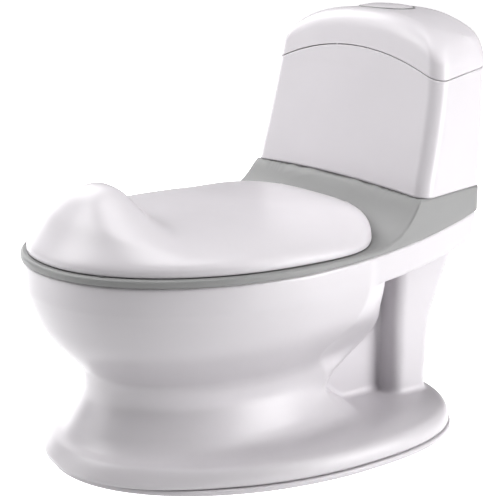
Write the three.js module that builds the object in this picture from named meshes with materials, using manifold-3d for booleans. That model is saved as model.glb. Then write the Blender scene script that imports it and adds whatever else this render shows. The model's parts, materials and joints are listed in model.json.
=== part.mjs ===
// Toddler potty training chair shaped like a toilet. Millimetres, +Z up, front is -Y.
import * as THREE from 'three';
import { mergeVertices } from 'three/addons/utils/BufferGeometryUtils.js';
import Module from 'manifold-3d';

// ---------- driving dimensions ----------
const Y_SHIFT = -3.8;          // moves the finished group so its bounding box is centred
const WALL = 3;                // moulded wall thickness
const GAP = 0.4;               // clearance between touching pieces
const SIDE = 16;               // outline points from front centre to rear centre

// base
const FOOT_H = 1.0;            // rubber feet stand this proud of the base plate
const PLATE_TOP = 5.7;
const BASE = { w: 140.2, yw: 31, f: -173.9, r: 183.9, nf: 1.97, nr: 2.77 };

// rim wall: outline shared by bowl skirt, seat deck and foot of the tank
const RIM_W = 129.4;
const RIM_YW = -19.5;
const RIM_F = -191;
const RIM_N = 2.09;
const RIM_TAPER = 28;
const RIM_REAR = 180.4;
const CORNER = { x: 90.8, y: 173.4, r: 12 };
const REAR_Y = 191;
const RIM_Z = 172.9;
const RIM_RISE = 18.3;
const RIM_RISE_Y = -61.4;
const SKIRT_H = 25.5;
const SKIRT_IN = 1.8;          // the white skirt sits this far inside the grey rim

// bowl and pedestal stations: height, half width, front, flank x, rear
const FLANK_Y = 32;
const BOWL = [
  { z: 172, w: 127.8, f: -189.0, xc: 123.4, r: 122 },
  { z: 147, w: 127.2, f: -188.2, xc: 122.8, r: 121 },
  { z: 130, w: 121.8, f: -182.4, xc: 117.0, r: 120 },
  { z: 116, w: 115.0, f: -176.2, xc: 108.5, r: 117 },
  { z: 102, w: 105.2, f: -166.0, xc: 97.0, r: 113 },
  { z: 90, w: 94.2, f: -155.5, xc: 83.5, r: 107 },
  { z: 80, w: 84.5, f: -146.4, xc: 76.5, r: 99 },
  { z: 72, w: 80.5, f: -144.0, xc: 74.0, r: 90 },
  { z: 61, w: 79.2, f: -144.1, xc: 73.0, r: 75 },
  { z: 48, w: 82.8, f: -149.3, xc: 75.0, r: 68 },
  { z: 36, w: 87.5, f: -156.5, xc: 79.0, r: 71 },
  { z: 28, w: 93.0, f: -161.5, xc: 84.0, r: 76 },
  { z: 22, w: 106.0, f: -170.0, xc: 93.0, r: 86 },
];
const WEB = { x: 46, y0: 45, y1: 135, z1: 150 };
const COLUMN = { x: 66, y0: 121, y1: 160, r: 15, z1: 172 };

// seat deck
const DECK_Z = 178.8;
const DECK_T = 3;
const SWEEP_Y = 20;
const TANK_Y = 101.4;
const TANK_Z = 213;
const TANK_ARCH = 3.6;
const HOLE = { w: 88, yw: -45, f: -158, r: 48, nf: 2.1, nr: 2.3 };

// seat ring and pot
const SEAT_OUT = { w: 108, yw: -22, f: -172, r: 66, nf: 2.1, nr: 2.4 };
const SEAT_IN = { w: 76, yw: -45, f: -150, r: 38, nf: 2.1, nr: 2.2 };
const SEAT_H = 10;
const POT_TOP = DECK_Z + 8.4;
const POT_DEPTH = 96;
const POT_T = 2.2;
const GUARD_H = 26;
const POT_LIFT = 8;

// lid
const LID_INSET = 4.9;
const LID_Z = 179.9;
const LID_TOP = 206;
const LID_REAR = 86.3;
const LID_YC = -30;
const LUG_X = 38;
const HUMP = { y: -141, h: 37, sf: 30, sr: 34, sx: 52 };
const HINGE = { y: 80.5, z: 198.8, r: 4.2, pin: 1.2 };

// tank
const TANK_STATIONS = [
  { z: 211.0, x: 115.7, y: 100.8 },
  { z: 225.0, x: 114.6, y: 103.2 },
  { z: 255.0, x: 112.8, y: 110.3 },
  { z: 285.0, x: 110.9, y: 116.5 },
  { z: 308.0, x: 108.6, y: 120.4 },
];
const TANK_R = 12;
const TOP_Z = 359;
const TOP_DROP = 18;
const TOP_R = 18;
const SEAM_Z = 307.5;
const SEAM_ARCH = 20.3;
const SEAM_SLOPE = 0.1;
const TANK_HINGE = { y: 195, z: 337.5, r: 3.5, pin: 1.4 };

// flush button and sound module
const BUTTON = { x: 26.5, y: 17.5, cy: 160, lift: 3.6 };
const BEZEL_W = 1.8;
const MODULE = { x: 30, y: 15, z0: 322, z1: 348 };
const SCREW_X = 36.4;           // screws that hold the module under the tank lid

const WHITE = { color: 0xefecf0, roughness: 0.35 };
const GREY = { color: 0x9a9a99, roughness: 0.5 };
const DARK = { color: 0x3a3b3d, roughness: 0.6 };
const STEEL = { color: 0xb9bcc0, roughness: 0.35, metalness: 1 };
const BOARD = { color: 0x2f6b3c, roughness: 0.6 };

// ---------- solids ----------
const wasm = await Module();
wasm.setup();

function toSolid(geometry) {
  const g = geometry.clone();
  for (const name of ['normal', 'uv']) {
    if (g.attributes[name]) g.deleteAttribute(name);
  }
  const m = mergeVertices(g, 1e-4);
  const mesh = new wasm.Mesh({
    numProp: 3,
    vertProperties: new Float32Array(m.attributes.position.array),
    triVerts: new Uint32Array(m.index.array),
  });
  return new wasm.Manifold(mesh);
}

function toGeometry(solid) {
  const mesh = solid.getMesh();
  const g = new THREE.BufferGeometry();
  const pos = new Float32Array(mesh.vertProperties);
  g.setAttribute('position', new THREE.BufferAttribute(pos, 3));
  g.setIndex(new THREE.BufferAttribute(new Uint32Array(mesh.triVerts), 1));
  g.computeVertexNormals();
  return g;
}

function box(x0, x1, y0, y1, z0, z1) {
  const g = new THREE.BoxGeometry(x1 - x0, y1 - y0, z1 - z0);
  g.translate((x0 + x1) / 2, (y0 + y1) / 2, (z0 + z1) / 2);
  return toSolid(g);
}

function rodZ(x, y, r, z0, z1, seg = 16) {
  const g = new THREE.CylinderGeometry(r, r, z1 - z0, seg);
  g.rotateX(Math.PI / 2);
  g.translate(x, y, (z0 + z1) / 2);
  return toSolid(g);
}

function rodX(y, z, r, x0, x1, seg = 16) {
  const g = new THREE.CylinderGeometry(r, r, x1 - x0, seg);
  g.rotateZ(Math.PI / 2);
  g.translate((x0 + x1) / 2, y, z);
  return toSolid(g);
}

// A loft through closed rings listed bottom to top, every ring counter-clockwise from above.
function loft(rings, tip = false) {
  const n = rings[0].length;
  const pos = rings.flat(2);
  const tri = [];
  for (let k = 0; k + 1 < rings.length; k++) {
    for (let i = 0; i < n; i++) {
      const a = k * n + i;
      const b = k * n + (i + 1) % n;
      tri.push(a, b, b + n, a, b + n, a + n);
    }
  }
  capStrips(tri, n, 0, true);
  if (tip) capFan(tri, pos, n, (rings.length - 1) * n, tip);
  else capStrips(tri, n, (rings.length - 1) * n, false);
  const g = new THREE.BufferGeometry();
  g.setAttribute('position', new THREE.Float32BufferAttribute(pos, 3));
  g.setIndex(tri);
  return toSolid(g);
}

function capStrips(tri, n, base, down) {
  const put = (a, b, c) => (down ? tri.push(a, c, b) : tri.push(a, b, c));
  const left = (i) => base + (n - i) % n;
  put(base, base + 1, left(1));
  for (let i = 1; i < n / 2 - 1; i++) {
    put(base + i, base + i + 1, left(i + 1));
    put(base + i, left(i + 1), left(i));
  }
  put(base + n / 2 - 1, base + n / 2, left(n / 2 - 1));
}

function capFan(tri, pos, n, base, tip) {
  const c = pos.length / 3;
  pos.push(...tip);
  for (let i = 0; i < n; i++) tri.push(base + i, base + (i + 1) % n, c);
}

// Completes a half outline (front centre to rear centre, +X side) into a full ring.
function mirror(half) {
  const left = half.slice(1, -1).reverse().map(([x, y]) => [-x, y]);
  return [...half, ...left];
}

function lift(outline, z) {
  return outline.map(([x, y]) => [x, y, typeof z === 'function' ? z(x, y) : z]);
}

// ---------- outlines ----------
function egg(e, d = 0, side = SIDE) {
  const half = [];
  for (let i = 0; i <= side; i++) {
    const a = Math.PI * i / side;
    const front = a <= Math.PI / 2;
    const p = 2 / (front ? e.nf : e.nr);
    const c = Math.abs(Math.cos(a)) ** p;
    const x = i === side ? 0 : (e.w - d) * Math.abs(Math.sin(a)) ** p;
    half.push([x, front ? e.yw - (e.yw - e.f - d) * c : e.yw + (e.r - d - e.yw) * c]);
  }
  return mirror(half);
}

function wallX(y) {
  const s = Math.max(0, (y - RIM_YW) / (RIM_REAR - 5 + 24.5));
  return RIM_W - RIM_TAPER * s ** 1.4;
}

function rimOutline(d = 0) {
  const half = [];
  for (let i = 0; i <= 9; i++) {
    const a = Math.PI / 2 * i / 9;
    const x = (RIM_W - d) * Math.sin(a) ** (2 / RIM_N);
    half.push([x, RIM_YW - (RIM_YW - RIM_F - d) * Math.abs(Math.cos(a)) ** (2 / RIM_N)]);
  }
  for (let i = 1; i <= 5; i++) {
    const y = RIM_YW + (CORNER.y - RIM_YW) * i / 5;
    half.push([wallX(y) - d, y]);
  }
  for (let i = 1; i <= 2; i++) {
    const a = Math.PI / 2 * i / 2;
    const r = CORNER.r - d;
    half.push([CORNER.x + r * Math.cos(a), CORNER.y + r * Math.sin(a)]);
  }
  const last = half[half.length - 1];
  for (let i = 1; i <= 2; i++) {
    const u = i / 2;
    half.push([last[0] * (1 - u), last[1] + (REAR_Y - d - last[1]) * Math.sin(u * Math.PI / 2)]);
  }
  return mirror(half);
}

function rimZ(x, y) {
  const t = Math.max(0, (y - RIM_RISE_Y) / (180.4 - RIM_RISE_Y));
  return RIM_Z + RIM_RISE * Math.min(t, 1.05) ** 3;
}

function bezier(a, b, c, d, t) {
  const s = 1 - t;
  return s * s * s * a + 3 * s * s * t * b + 3 * s * t * t * c + t * t * t * d;
}

function bowlOutline(s, d) {
  const half = [];
  const w = s.w - d;
  for (let i = 0; i <= 9; i++) {
    const a = Math.PI / 2 * i / 9;
    const x = w * Math.sin(a) ** (2 / RIM_N);
    half.push([x, RIM_YW - (RIM_YW - s.f - d) * Math.abs(Math.cos(a)) ** (2 / RIM_N)]);
  }
  for (let i = 1; i <= 2; i++) {
    const y = RIM_YW + (FLANK_Y - RIM_YW) * i / 2;
    half.push([w - (s.w - s.xc) * (i / 2) ** 1.5, y]);
  }
  const span = s.r - d - FLANK_Y;
  for (let i = 1; i <= 6; i++) {
    const t = i / 6;
    const x = bezier(s.xc - d, s.xc - d - 0.08 * span, 0.78 * s.xc - d, 0, t);
    half.push([x, FLANK_Y + bezier(0, 0.55, 0.98, 1, t) * span]);
  }
  return mirror(half);
}

function roundQuad(q) {
  const half = [[0, q.y0]];
  const dy = q.y1 - q.y0;
  const arc = (cx, cy, r, a0, a1, n) => {
    for (let i = 0; i <= n; i++) {
      const a = a0 + (a1 - a0) * i / n;
      half.push([cx + r * Math.cos(a), cy + r * Math.sin(a)]);
    }
  };
  half.push([(q.x0 - q.r0) / 2, q.y0]);
  arc(q.x0 - q.r0, q.y0 + q.r0, q.r0, -Math.PI / 2, Math.atan2(q.x0 - q.x1, dy), 3);
  half.push([(q.x0 + q.x1) / 2, (q.y0 + q.y1) / 2]);
  arc(q.x1 - q.r1, q.y1 - q.r1, q.r1, Math.atan2(q.x0 - q.x1, dy), Math.PI / 2, 3);
  for (const u of [0.5]) {
    half.push([(q.x1 - q.r1) * (1 - u), q.y1 + q.bulge * Math.sin(u * Math.PI / 2)]);
  }
  half.push([0, q.y1 + q.bulge]);
  return mirror(half);
}

// ---------- body ----------
function platform(d) {
  const steps = [[-1, 1.6], [12, 2.4], [17, 4.4], [21, 8.5], [23.2, 14], [24, 21]];
  const rings = steps.map(([z, inset]) => lift(egg(BASE, inset + d), z < 0 ? z : z - d));
  if (d === 0) rings[0] = lift(egg(BASE, 1.6), PLATE_TOP + 0.6);
  return loft(rings);
}

function skirt(d) {
  const low = (x, y) => rimZ(x, y) - SKIRT_H + d;
  const high = (x, y) => rimZ(x, y) + (d ? 20 : -GAP / 2);
  const outline = rimOutline(SKIRT_IN + d);
  return loft([lift(outline, low), lift(outline, high)]);
}

function bowl(d) {
  const rings = BOWL.slice().reverse().map((s) => lift(bowlOutline(s, d), s.z));
  rings[0] = lift(bowlOutline(BOWL[BOWL.length - 1], d), d ? 0 : 21);
  if (d) rings[rings.length - 1] = lift(bowlOutline(BOWL[0], d), 180);
  return loft(rings);
}

function column(d) {
  const c = COLUMN;
  const levels = [[d ? 0 : 20, 0, 0], [92, 0, 4], [115, 1.5, 13], [135, 3, 20], [150, 4, 25], [c.z1, 4, 26]];
  return loft(levels.map(([z, dx, dy]) => lift(roundQuad({
    x0: c.x + dx - d, x1: c.x + dx - d, y0: c.y0 + d, y1: c.y1 + dy - d,
    r0: c.r - d / 2, r1: c.r - d / 2, bulge: 1.5,
  }), z + (z === c.z1 && d ? 10 : 0))));
}

function web(d) {
  return box(-WEB.x + d, WEB.x - d, WEB.y0, WEB.y1, d ? 0 : 20, WEB.z1 + d);
}

function bodyMass(d) {
  return wasm.Manifold.union([platform(d), skirt(d), bowl(d), column(d), web(d)]);
}

const SCREW_AT = [[92, -70], [98, 118]];
const FOOT_AT = [[0, -152], [112, -28], [118, 92], [74, 160]];

function bodyShell() {
  let s = bodyMass(0).subtract(bodyMass(WALL));
  for (const [x, y] of bothSides(SCREW_AT)) {
    s = s.add(rodZ(x, y, 5, PLATE_TOP + 0.6, 21.6, 12));
    s = s.subtract(rodZ(x, y, 1.9, 0, 17.5, 8));
  }
  return s;
}

function basePlate() {
  let s = loft([lift(egg(BASE, 0.6), FOOT_H), lift(egg(BASE), 2), lift(egg(BASE), PLATE_TOP)]);
  s = s.subtract(loft([lift(egg(BASE, 7), 3.4), lift(egg(BASE, 7), 9)]));
  for (const [x, y] of bothSides(SCREW_AT)) {
    s = s.add(rodZ(x, y, 6.5, 3, PLATE_TOP, 12));
    s = s.subtract(rodZ(x, y, 1.9, 0, 9, 8));
    s = s.subtract(rodZ(x, y, 3.9, 0, 3.6, 10));
  }
  for (const [x, y] of bothSides(FOOT_AT)) s = s.subtract(rodZ(x, y, 8.4, 0, 2, 14));
  return s;
}

function foot(x, y) {
  return rodZ(x, y, 8, 0, 1.8, 14);
}

function screw(x, y, z0, head, len) {
  const pan = rodZ(x, y, 3.5, z0, z0 + head, 10);
  const slot = box(x - 2.6, x + 2.6, y - 0.45, y + 0.45, z0 - 1, z0 + 0.9);
  return pan.add(rodZ(x, y, 1.5, z0 + head - 0.2, z0 + len, 8)).subtract(slot);
}

// ---------- seat deck ----------
function deckZ(x, y) {
  const t = Math.min(Math.max((y - SWEEP_Y) / (TANK_Y - SWEEP_Y), 0), 1);
  const top = TANK_Z - 0.5 - DECK_Z + TANK_ARCH * (1 - (x / 113) ** 2);
  return DECK_Z + top * t ** 4;
}

// Everything under the deck surface: profile in Y repeated at stations across X.
function underDeck(drop) {
  const ys = [-230, 20, 40, 52, 62, 70, 77, 83, 88, 92, 95.5, 98.5, TANK_Y, 230];
  const xs = [-150, -113, -75, -38, 0, 38, 75, 113, 150];
  const pos = [];
  const tri = [];
  for (const x of xs) {
    for (const y of ys) pos.push(x, y, deckZ(Math.min(Math.max(x, -113), 113), y) - drop);
    for (const y of ys) pos.push(x, y, 60);
  }
  const m = ys.length;
  for (let k = 0; k + 1 < xs.length; k++) {
    for (let i = 0; i + 1 < m; i++) {
      const a = k * 2 * m + i;
      const b = a + 2 * m;
      tri.push(a, b, b + 1, a, b + 1, a + 1);
      tri.push(a + m, b + m + 1, b + m, a + m, a + m + 1, b + m + 1);
    }
    const a = k * 2 * m;
    const b = a + 2 * m;
    tri.push(a, a + m, b + m, a, b + m, b);
    tri.push(a + m - 1, b + m - 1, b + 2 * m - 1, a + m - 1, b + 2 * m - 1, a + 2 * m - 1);
  }
  endFaces(tri, m, (xs.length - 1) * 2 * m);
  const g = new THREE.BufferGeometry();
  g.setAttribute('position', new THREE.Float32BufferAttribute(pos, 3));
  g.setIndex(tri);
  return toSolid(g);
}

function endFaces(tri, m, far) {
  for (let i = 0; i + 1 < m; i++) {
    tri.push(i, i + 1, i + 1 + m, i, i + 1 + m, i + m);
    tri.push(far + i, far + i + 1 + m, far + i + 1, far + i, far + i + m, far + i + 1 + m);
  }
}

function seatDeck() {
  const low = (x, y) => rimZ(x, y) + GAP / 2;
  const outer = [lift(rimOutline(), low), lift(rimOutline(), 230)];
  const inn = rimOutline(SKIRT_IN + WALL + 1.4);
  const inner = [lift(inn, 150), lift(inn, 230)];
  let s = loft(outer).intersect(underDeck(0));
  s = s.subtract(loft(inner).intersect(underDeck(DECK_T)));
  s = s.subtract(loft([lift(egg(HOLE), 160), lift(egg(HOLE), 200)]));
  s = s.add(deckLip());
  for (const side of [-1, 1]) s = s.add(deckLug(side));
  s = s.subtract(rodX(HINGE.y, HINGE.z, HINGE.pin + 0.3, -60, 60, 12));
  for (const side of [-1, 1]) s = s.subtract(rodZ(side * 70, 150, 1.9, 200, 230, 12));
  return s;
}

// Locating lip that drops inside the bowl skirt.
function deckLip() {
  const out = rimOutline(SKIRT_IN + WALL + GAP);
  const inn = rimOutline(SKIRT_IN + WALL + 2.4);
  const low = (x, y) => rimZ(x, y) - 5;
  const high = (x, y) => Math.min(rimZ(x, y) + 3, deckZ(x, y) - 1);
  return loft([lift(out, low), lift(out, high)])
    .subtract(loft([lift(inn, (x, y) => low(x, y) - 5), lift(inn, 230)]));
}

function deckLug(side) {
  const x0 = side * LUG_X - 4.5;
  const x1 = side * LUG_X + 4.5;
  return rodX(HINGE.y, HINGE.z, 3.1, x0, x1, 16)
    .add(box(x0, x1, HINGE.y - 3.1, HINGE.y + 1, 187.2, HINGE.z));
}

// ---------- seat ring and pot ----------
function seatRing() {
  const z = DECK_Z + 0.2;
  const out = [[0, 0], [0, 3], [1.5, 6.5], [5, 9], [10, SEAT_H]];
  const rings = out.map(([d, h]) => lift(egg(SEAT_OUT, d), z + h));
  const bore = [[0, -1], [0, 6.2], [-2.4, 6.4], [-2.4, 8.6], [-6, 12]];
  const hole = bore.map(([d, h]) => lift(egg(SEAT_IN, d), z + h));
  let s = loft(rings).subtract(loft(hole)).subtract(underDeck(-0.3));
  const key = loft([lift(egg(HOLE, 0.5), DECK_Z - 6), lift(egg(HOLE, 0.5), z + 1)]);
  s = s.add(key.subtract(loft([lift(egg(HOLE, 3), DECK_Z - 9), lift(egg(HOLE, 3), z + 5)])));
  return s;
}

function potStation(k, d) {
  const u = k ** 2.2;
  return {
    w: 73.6 - 24 * u - d, yw: -45, nf: 2.1, nr: 2.2,
    f: -147.6 + 40 * u + d, r: 35.6 - 26 * u - d,
  };
}

function innerPot() {
  const ks = [1, 0.97, 0.9, 0.78, 0.6, 0.35, 0];
  const zk = (k, d) => POT_TOP - POT_DEPTH * k + (k === 1 ? d : 0);
  const outer = ks.map((k) => lift(egg(potStation(k, k === 1 ? 9 : k === 0.97 ? 2 : 0), 0, 14), zk(k, 0)));
  const inner = ks.map((k) => lift(egg(potStation(k, POT_T + (k === 1 ? 9 : 0)), 0, 14), zk(k, POT_T)));
  inner.push(lift(egg(potStation(0, POT_T), 0, 14), POT_TOP + 60));
  const top = lift(egg(potStation(0, 0), 0, 14), POT_TOP + 0.8);
  let s = loft([...outer, top]);
  const rim = egg({ w: 77.8, yw: -45, f: -151.8, r: 39.8, nf: 2.1, nr: 2.2 }, 0, 14);
  s = s.add(loft([lift(rim, POT_TOP - 1.2), lift(rim, POT_TOP + 1.2)]));
  s = s.add(splashGuard());
  return s.subtract(loft(inner));
}

function splashGuard() {
  const out = { w: 76, yw: -45, f: -150, r: 38, nf: 2.1, nr: 2.2 };
  const top = { w: 60, yw: -62, f: -143, r: 10, nf: 2.1, nr: 2.2 };
  const wall = loft([lift(egg(out, 0, 14), POT_TOP), lift(egg(top, 0, 14), POT_TOP + GUARD_H)]);
  const inn = loft([lift(egg(out, 2.4, 14), POT_TOP - 1), lift(egg(top, 2.4, 14), POT_TOP + 60)]);
  const keep = rodX(-150, POT_TOP - 20, 50, -36, 36, 40);
  return wall.subtract(inn).intersect(keep);
}

// ---------- lid ----------
function lidOutline(d) {
  const rear = LID_REAR - d;
  const half = [];
  for (let i = 0; i <= 9; i++) {
    const a = Math.PI / 2 * i / 9;
    const x = (RIM_W - LID_INSET - d) * Math.sin(a) ** (2 / RIM_N);
    const c = Math.abs(Math.cos(a)) ** (2 / RIM_N);
    half.push([x, RIM_YW - (RIM_YW - RIM_F - LID_INSET - d) * c]);
  }
  const w = RIM_W - LID_INSET - d;
  for (let i = 1; i <= 9; i++) {
    const a = Math.PI / 2 * i / 9;
    const x = w * Math.abs(Math.cos(a)) ** 0.69;
    half.push([i === 9 ? 0 : x, RIM_YW + (rear - RIM_YW) * Math.sin(a) ** 0.69]);
  }
  return mirror(half);
}

function humpZ(x, y) {
  const s = y < HUMP.y ? HUMP.sf : HUMP.sr;
  return HUMP.h * Math.exp(-(((y - HUMP.y) / s) ** 2)) * Math.exp(-((x / HUMP.sx) ** 2));
}

function lidBottomZ(x, y) {
  const t = Math.min(Math.max((y - SWEEP_Y) / (TANK_Y - SWEEP_Y), 0), 1);
  return LID_Z + (TANK_Z - DECK_Z + 6) * t ** 4;
}

function lidTopZ(r, x, y, d) {
  const z0 = Math.max(LID_Z + 3, lidBottomZ(x, y) + 1);
  const u = Math.min(Math.max((y - 5) / 65, 0), 1);
  const p = 3.2 + 13 * u * u * (3 - 2 * u);
  const crown = (LID_TOP - z0 - d) * Math.sqrt(Math.max(0, 1 - r ** p));
  return z0 + crown + humpZ(x, y) * Math.min(1, (1 - r ** 8) * 1.6);
}

function lidMass(d) {
  const outline = lidOutline(d);
  const rings = [lift(outline, (x, y) => (d ? 150 : lidBottomZ(x, y)))];
  for (const r of [1, 0.97, 0.92, 0.84, 0.74, 0.62, 0.46, 0.24]) {
    rings.push(outline.map(([x, y]) => {
      const p = [x * r, LID_YC + (y - LID_YC) * r];
      return [...p, lidTopZ(r, p[0], p[1], d)];
    }));
  }
  return loft(rings, [0, LID_YC, lidTopZ(0, 0, LID_YC, d)]);
}

function lid() {
  let s = lidMass(0).subtract(lidMass(WALL));
  for (const side of [-1, 1]) {
    const x0 = side * LUG_X - 4.9;
    const x1 = side * LUG_X + 4.9;
    s = s.add(rodX(HINGE.y, HINGE.z, HINGE.r, x0 - 6, x1 + 6, 20));
    s = s.subtract(rodX(HINGE.y, HINGE.z, 3.6, x0, x1, 20));
    s = s.subtract(box(x0, x1, HINGE.y - 3.7, HINGE.y + 10, HINGE.z - 12, HINGE.z + 2.4));
  }
  return s.subtract(rodX(HINGE.y, HINGE.z, HINGE.pin + 0.3, -52, 52, 12));
}

function lidBumper(x, y) {
  return rodZ(x, y, 3, DECK_Z + 0.3, LID_Z - 0.35, 12);
}

function lidPin(side) {
  const x = side * LUG_X;
  return rodX(HINGE.y, HINGE.z, HINGE.pin, x - 10, x + 10, 12);
}

// ---------- tank ----------
function topZ(x) {
  return TOP_Z - TOP_DROP * (Math.abs(x) / 95) ** 2.6;
}

function tankQuad(s, d, grow = 0) {
  return roundQuad({
    x0: s.x - d, x1: CORNER.x + CORNER.r - d, y0: s.y + d, y1: CORNER.y + CORNER.r - d,
    r0: TANK_R - d / 2 + grow, r1: TANK_R - d / 2 + grow, bulge: REAR_Y - CORNER.y - CORNER.r,
  });
}

// Walls up to the shoulder, then a large soft edge rolling over onto the arched top.
function tankMass(d) {
  const rings = TANK_STATIONS.map((s) => lift(tankQuad(s, d), s.z));
  if (d) rings[0] = lift(tankQuad(TANK_STATIONS[0], d), TANK_Z + 4.5);
  const last = TANK_STATIONS[TANK_STATIONS.length - 1];
  for (const deg of [0, 30, 60, 90]) {
    const a = deg * Math.PI / 180;
    const inset = (TOP_R - d) * (1 - Math.cos(a));
    const shoulder = { x: last.x - 1 - inset * 0.9, y: last.y + 1.4 + inset };
    const q = tankQuad(shoulder, d, inset * 0.35);
    const squash = 1 - inset * 0.55 / 60;
    const rear = q.map(([x, y]) => [x * (1 - inset / 220), 150 + (y - 150) * (y > 150 ? squash : 1)]);
    rings.push(lift(rear, (x) => topZ(x) - TOP_R + (TOP_R - d) * Math.sin(a)));
  }
  return crownTank(rings, d);
}

function crownTank(rings, d) {
  const edge = rings[rings.length - 1];
  const yc = 158;
  for (const r of [0.7, 0.22]) {
    rings.push(edge.map(([x, y]) => [x * r, yc + (y - yc) * r, topZ(x * r) - d]));
  }
  return loft(rings, [0, yc, TOP_Z - d]);
}

// Block whose top follows the arched seam, used to part the tank from its lid.
function underSeam(shift) {
  const xs = [];
  for (let i = 0; i <= 14; i++) xs.push(-140 + 20 * i);
  const shape = new THREE.Shape();
  shape.moveTo(-140, 150);
  shape.lineTo(140, 150);
  for (const x of xs.slice().reverse()) {
    shape.lineTo(x, SEAM_Z + shift + SEAM_ARCH * (1 - (x / 105) ** 2));
  }
  const g = new THREE.ExtrudeGeometry(shape, { depth: 200, bevelEnabled: false });
  g.rotateX(Math.PI / 2);
  g.translate(0, 260, 0);
  const p = g.attributes.position;
  for (let i = 0; i < p.count; i++) {
    if (p.getZ(i) > 151) p.setZ(i, p.getZ(i) + SEAM_SLOPE * (p.getY(i) - 124));
  }
  return toSolid(g);
}

function tankShell() {
  let s = tankMass(0).subtract(tankMass(WALL)).intersect(underSeam(-0.3));
  s = s.subtract(underDeck(-0.4));
  for (const side of [-1, 1]) {
    s = s.add(hingeLug(side * 24, 6, 191.4, 322, TANK_HINGE.z));
    s = s.add(box(side * 24 - 6, side * 24 + 6, 188.5, 193, 318, 329));
    s = s.subtract(rodZ(side * 70, 150, 1.9, 200, 224, 12));
  }
  return s.subtract(rodX(TANK_HINGE.y, TANK_HINGE.z, TANK_HINGE.pin + 0.3, -40, 40, 16));
}

function hingeLug(x, half, y0, z0, z1) {
  const h = TANK_HINGE;
  const arm = box(x - half, x + half, y0, h.y, z0, z1);
  return rodX(h.y, h.z, h.r, x - half, x + half, 16).add(arm);
}

function tankLid() {
  let s = tankMass(0).subtract(tankMass(WALL)).subtract(underSeam(0.3));
  s = s.add(hingeLug(0, 17.5, 188.6, TANK_HINGE.z, TANK_HINGE.z + 3.5));
  const hole = ovalRing(BEZEL_W + 0.45);
  s = s.subtract(loft([lift(hole, 340), lift(hole, 375)]));
  for (const side of [-1, 1]) {
    s = s.add(rodZ(side * SCREW_X, BUTTON.cy + 0.7, 3.6, 340, 355.6, 12));
    s = s.subtract(rodZ(side * SCREW_X, BUTTON.cy, 1.8, 330, 350, 10));
  }
  return s.subtract(rodX(TANK_HINGE.y, TANK_HINGE.z, TANK_HINGE.pin + 0.3, -40, 40, 16));
}

function ovalRing(grow, n = 2.3) {
  const b = BUTTON;
  const half = [];
  for (let i = 0; i <= 14; i++) {
    const a = Math.PI * i / 14;
    const s = i % 14 ? Math.sin(a) ** (2 / n) : 0;
    const c = Math.sign(Math.cos(a)) * Math.abs(Math.cos(a)) ** (2 / n);
    half.push([(b.x + grow) * s, b.cy - (b.y + grow) * c]);
  }
  return mirror(half);
}

function buttonBezel() {
  const low = (x) => topZ(x) - 3.5;
  const s = loft([lift(ovalRing(BEZEL_W), low), lift(ovalRing(BEZEL_W), (x) => topZ(x) + 0.5)]);
  const bore = ovalRing(0.5);
  return s.subtract(loft([lift(bore, 330), lift(bore, 380)]));
}

function flushButton() {
  const z = (h) => (x) => topZ(x) + h;
  const steps = [[0, -7], [0, 1.6], [0.8, 2.4], [4, 3.1], [9, BUTTON.lift - 0.15]];
  const rings = steps.map(([d, h]) => lift(ovalRing(-d), z(h)));
  let s = loft(rings, [0, BUTTON.cy, TOP_Z + BUTTON.lift]);
  s = s.subtract(loft([lift(ovalRing(-2), 340), lift(ovalRing(-2), z(-0.6))]));
  return s.add(rodZ(0, BUTTON.cy, 3.4, 345, 359, 16));
}

class Coil extends THREE.Curve {
  getPoint(t) {
    const a = 2 * Math.PI * 2.5 * t;
    return new THREE.Vector3(6 * Math.cos(a), BUTTON.cy + 6 * Math.sin(a), 349.4 + 8 * t);
  }
}

function buttonSpring() {
  const wire = new THREE.Shape();
  wire.absarc(0, 0, 0.45, 0, Math.PI * 2);
  const g = new THREE.ExtrudeGeometry(wire, { steps: 30, curveSegments: 5, extrudePath: new Coil() });
  return toSolid(g);
}

// ---------- sound module under the tank lid ----------
function moduleCase() {
  const m = MODULE;
  const c = BUTTON.cy;
  let s = box(-m.x, m.x, c - m.y, c + m.y, m.z0, m.z1);
  s = s.subtract(box(-m.x + 2, m.x - 2, c - m.y + 2, c + m.y - 2, m.z0 - 1, m.z1 - 2));
  s = s.subtract(rodZ(0, c, 4.2, m.z1 - 5, m.z1 + 1, 20));
  for (const side of [-1, 1]) {
    const tab = box(side * m.x - 10, side * m.x + 11, c - 5, c + 5, 336, 338.4);
    s = s.add(tab.subtract(box(-m.x + 1, m.x - 1, c - 9, c + 9, 330, 341)));
    s = s.subtract(rodZ(side * SCREW_X, c, 1.9, 330, 345, 12));
  }
  return s;
}

function circuitBoard() {
  const c = BUTTON.cy;
  return box(-26, 26, c - 12, c + 12, 335.6, 337.2);
}

function tactSwitch() {
  const c = BUTTON.cy;
  return box(-3, 3, c - 3, c + 3, 337.4, 340.4).add(rodZ(0, c, 1.7, 340, 341.8, 12));
}

function speaker() {
  const prof = [[0, 0], [9, 0], [9, 3.6], [7.6, 3.6], [3.2, 1.8], [0, 2.4]];
  const g = new THREE.LatheGeometry(prof.map(([r, z]) => new THREE.Vector2(r, z)), 20);
  g.rotateX(Math.PI / 2);
  g.translate(15, BUTTON.cy, 331.6);
  return toSolid(g);
}

function coinCell(i) {
  return rodZ(-14, BUTTON.cy, 8, 328.2 + 2.4 * i, 330.4 + 2.4 * i, 20);
}

function batteryDoor() {
  const m = MODULE;
  const c = BUTTON.cy;
  const plate = box(-m.x + 2.3, m.x - 2.3, c - m.y + 2.3, c + m.y - 2.3, m.z0, m.z0 + 2);
  const lip = box(-24, -4, c - 9, c + 9, m.z0 + 1.5, m.z0 + 5.8);
  const slots = [-3, 0, 3].map((y) => box(9, 21, c + y - 0.7, c + y + 0.7, m.z0 - 1, m.z0 + 4));
  return plate.add(lip).subtract(wasm.Manifold.union(slots));
}

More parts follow.
